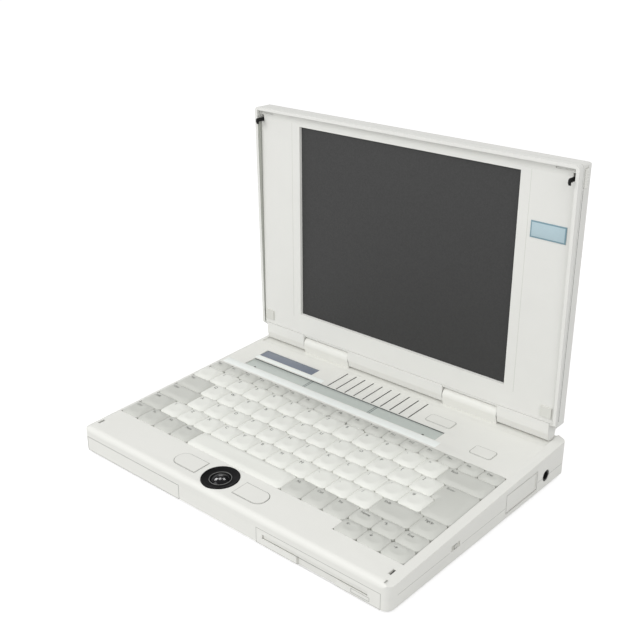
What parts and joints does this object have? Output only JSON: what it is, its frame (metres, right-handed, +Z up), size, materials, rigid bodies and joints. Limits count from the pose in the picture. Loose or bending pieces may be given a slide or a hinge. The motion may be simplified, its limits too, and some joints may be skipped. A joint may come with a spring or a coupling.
{
  "type": "notebook computer",
  "caption": "Light grey notebook computer of the nineties, lid open, with centre trackball, diskette drive and battery in the front edge.",
  "frame": {"origin": "middle of the footprint on the surface that the feet rest on", "axes": "+X to the user's right, +Y away from the user towards the hinge, +Z up"},
  "size_m": [0.297, 0.212, 0.2388],
  "materials": {
    "case_plastic": "fine-textured moulded plastic, light warm grey",
    "key_white": "fine satin moulded plastic",
    "key_grey": "fine satin moulded plastic, mid grey",
    "dark_plastic": "black moulded plastic",
    "gloss_black": "polished black",
    "lcd_glass": "blue-grey passive display behind a clear window",
    "tinted_window": "grey-green translucent strip",
    "screen_film": "dark matt display surface, switched off",
    "badge_blue": "pale blue plate, blank",
    "grey_rubber": "soft matt rubber",
    "circuit_board": "green solder mask",
    "bare_steel": "plated sheet steel"
  },
  "bodies": {
    "base": {"bottom_case": "case_plastic", "top_case": "case_plastic", "keyboard_plate": "bare_steel", "trackball_ring": "gloss_black", "trackball_cup": "dark_plastic", "status_lcd": "lcd_glass", "indicator_strip": "tinted_window", "speaker": "dark_plastic", "floppy_bezel": "case_plastic", "floppy_drive": "bare_steel", "hard_drive": "bare_steel", "main_board": "circuit_board", "parallel_port": "bare_steel", "serial_port": "bare_steel", "monitor_port": "bare_steel", "dc_jack": "dark_plastic", "case_screws": "bare_steel", "rubber_feet": "grey_rubber", "hinge_covers": "case_plastic", "hinge_brackets": "bare_steel"},
    "lid": {"lid_cover": "case_plastic", "screen_bezel": "case_plastic", "lcd_panel": "screen_film", "inverter_board": "circuit_board", "bumper_pads": "grey_rubber", "badge_plate": "badge_blue", "hinge_pins": "bare_steel"},
    "left_catch": {"latch_hook_left": "dark_plastic", "release_slider_left": "case_plastic"},
    "right_catch": {"latch_hook_right": "dark_plastic", "release_slider_right": "case_plastic"},
    "battery": {"battery_front": "case_plastic", "battery_pack": "dark_plastic"},
    "diskette_flap": {"dust_flap": "case_plastic"},
    "eject": {"eject_button": "case_plastic"},
    "side_door": {"port_door": "case_plastic"},
    "contrast": {"contrast_slider": "dark_plastic"},
    "ball": {"track_ball": "gloss_black"},
    "roller_behind": {"roller_y": "bare_steel"},
    "roller_beside": {"roller_x": "bare_steel"},
    "left_click": {"left_click_button": "case_plastic"},
    "right_click": {"right_click_button": "case_plastic"},
    "standby": {"standby_button": "case_plastic"},
    "power": {"power_button": "case_plastic"},
    "function_cap": {"function_keys": "key_grey"},
    "number_cap": {"number_keys": "key_white"},
    "backspace_cap": {"backspace_key": "key_grey"},
    "tab_cap": {"tab_key": "key_grey"},
    "upper_letter_cap": {"upper_letter_keys": "key_white"},
    "caps_cap": {"caps_key": "key_grey"},
    "home_letter_cap": {"home_letter_keys": "key_white"},
    "enter_cap": {"enter_key": "key_grey"},
    "left_shift_cap": {"left_shift_key": "key_grey"},
    "lower_letter_cap": {"lower_letter_keys": "key_white"},
    "right_shift_cap": {"right_shift_key": "key_grey"},
    "left_modifier_cap": {"left_modifier_keys": "key_grey"},
    "space_bar_cap": {"space_bar": "key_white"},
    "right_modifier_cap": {"right_modifier_keys": "key_grey"},
    "cursor_cap": {"cursor_keys": "key_grey"}
  },
  "joints": [
    {"name": "lid_hinge", "type": "hinge", "parent": "base", "child": "lid", "pos_m": [0, 0.0972, 0.0386], "axis": [1, 0, 0], "range_deg": [-45, 91.5]},
    {"name": "left_catch_slide", "type": "slide", "parent": "lid", "child": "left_catch", "axis": [0, 0, 1], "range_m": [0, 0.0022], "stiffness_N_per_m": 400, "springref_m": -0.0006},
    {"name": "right_catch_slide", "type": "slide", "parent": "lid", "child": "right_catch", "axis": [0, 0, 1], "range_m": [0, 0.0022], "stiffness_N_per_m": 400, "springref_m": -0.0006},
    {"name": "battery_slide", "type": "slide", "parent": "base", "child": "battery", "axis": [0, -1, 0], "range_m": [0, 0.1]},
    {"name": "dust_flap_hinge", "type": "hinge", "parent": "base", "child": "diskette_flap", "pos_m": [0.0879, -0.1045, 0.01055], "axis": [1, 0, 0], "range_deg": [0, 80], "stiffness_Nm_per_rad": 0.002, "springref_deg": -5.73},
    {"name": "eject_slide", "type": "slide", "parent": "base", "child": "eject", "axis": [0, -1, 0], "range_m": [0, 0.005]},
    {"name": "side_door_hinge", "type": "hinge", "parent": "base", "child": "side_door", "pos_m": [0.1471, 0.0462, 0.0081], "axis": [0, 1, 0], "range_deg": [0, 90]},
    {"name": "contrast_slide", "type": "slide", "parent": "base", "child": "contrast", "axis": [0, 1, 0], "range_m": [-0.003, 0.003]},
    {"name": "ball_roll", "type": "hinge", "parent": "base", "child": "ball", "pos_m": [-0.0131, -0.08877, 0.01577], "axis": [1, 0, 0], "continuous": true},
    {"name": "roller_behind_spin", "type": "hinge", "parent": "base", "child": "roller_behind", "pos_m": [-0.0131, -0.07772, 0.01577], "axis": [1, 0, 0], "continuous": true},
    {"name": "roller_beside_spin", "type": "hinge", "parent": "base", "child": "roller_beside", "pos_m": [-0.00205, -0.08877, 0.01577], "axis": [0, 1, 0], "continuous": true},
    {"name": "left_click_press", "type": "slide", "parent": "base", "child": "left_click", "axis": [0, 0.045, -0.999], "range_m": [0, 0.0012], "stiffness_N_per_m": 500, "springref_m": -0.0004},
    {"name": "right_click_press", "type": "slide", "parent": "base", "child": "right_click", "axis": [0, 0.045, -0.999], "range_m": [0, 0.0012], "stiffness_N_per_m": 500, "springref_m": -0.0004},
    {"name": "standby_press", "type": "slide", "parent": "base", "child": "standby", "axis": [0, 0.045, -0.999], "range_m": [0, 0.0012], "stiffness_N_per_m": 500, "springref_m": -0.0004},
    {"name": "power_press", "type": "slide", "parent": "base", "child": "power", "axis": [0, 0.045, -0.999], "range_m": [0, 0.0012], "stiffness_N_per_m": 500, "springref_m": -0.0004},
    {"name": "function_press", "type": "slide", "parent": "base", "child": "function_cap", "axis": [0, 0.045, -0.999], "range_m": [0, 0.0025], "stiffness_N_per_m": 2550, "springref_m": -0.001},
    {"name": "number_press", "type": "slide", "parent": "base", "child": "number_cap", "axis": [0, 0.045, -0.999], "range_m": [0, 0.0025], "stiffness_N_per_m": 1950, "springref_m": -0.001},
    {"name": "backspace_press", "type": "slide", "parent": "base", "child": "backspace_cap", "axis": [0, 0.045, -0.999], "range_m": [0, 0.0025], "stiffness_N_per_m": 150, "springref_m": -0.001},
    {"name": "tab_press", "type": "slide", "parent": "base", "child": "tab_cap", "axis": [0, 0.045, -0.999], "range_m": [0, 0.0025], "stiffness_N_per_m": 150, "springref_m": -0.001},
    {"name": "upper_letter_press", "type": "slide", "parent": "base", "child": "upper_letter_cap", "axis": [0, 0.045, -0.999], "range_m": [0, 0.0025], "stiffness_N_per_m": 1800, "springref_m": -0.001},
    {"name": "caps_press", "type": "slide", "parent": "base", "child": "caps_cap", "axis": [0, 0.045, -0.999], "range_m": [0, 0.0025], "stiffness_N_per_m": 150, "springref_m": -0.001},
    {"name": "home_letter_press", "type": "slide", "parent": "base", "child": "home_letter_cap", "axis": [0, 0.045, -0.999], "range_m": [0, 0.0025], "stiffness_N_per_m": 1800, "springref_m": -0.001},
    {"name": "enter_press", "type": "slide", "parent": "base", "child": "enter_cap", "axis": [0, 0.045, -0.999], "range_m": [0, 0.0025], "stiffness_N_per_m": 150, "springref_m": -0.001},
    {"name": "left_shift_press", "type": "slide", "parent": "base", "child": "left_shift_cap", "axis": [0, 0.045, -0.999], "range_m": [0, 0.0025], "stiffness_N_per_m": 150, "springref_m": -0.001},
    {"name": "lower_letter_press", "type": "slide", "parent": "base", "child": "lower_letter_cap", "axis": [0, 0.045, -0.999], "range_m": [0, 0.0025], "stiffness_N_per_m": 1650, "springref_m": -0.001},
    {"name": "right_shift_press", "type": "slide", "parent": "base", "child": "right_shift_cap", "axis": [0, 0.045, -0.999], "range_m": [0, 0.0025], "stiffness_N_per_m": 150, "springref_m": -0.001},
    {"name": "left_modifier_press", "type": "slide", "parent": "base", "child": "left_modifier_cap", "axis": [0, 0.045, -0.999], "range_m": [0, 0.0025], "stiffness_N_per_m": 600, "springref_m": -0.001},
    {"name": "space_bar_press", "type": "slide", "parent": "base", "child": "space_bar_cap", "axis": [0, 0.045, -0.999], "range_m": [0, 0.0025], "stiffness_N_per_m": 150, "springref_m": -0.001},
    {"name": "right_modifier_press", "type": "slide", "parent": "base", "child": "right_modifier_cap", "axis": [0, 0.045, -0.999], "range_m": [0, 0.0025], "stiffness_N_per_m": 600, "springref_m": -0.001},
    {"name": "cursor_press", "type": "slide", "parent": "base", "child": "cursor_cap", "axis": [0, 0.045, -0.999], "range_m": [0, 0.0025], "stiffness_N_per_m": 900, "springref_m": -0.001}
  ],
  "couplings": [
    {"joint": "roller_behind_spin", "follows": "ball_roll", "ratio": -6.3333}
  ]
}
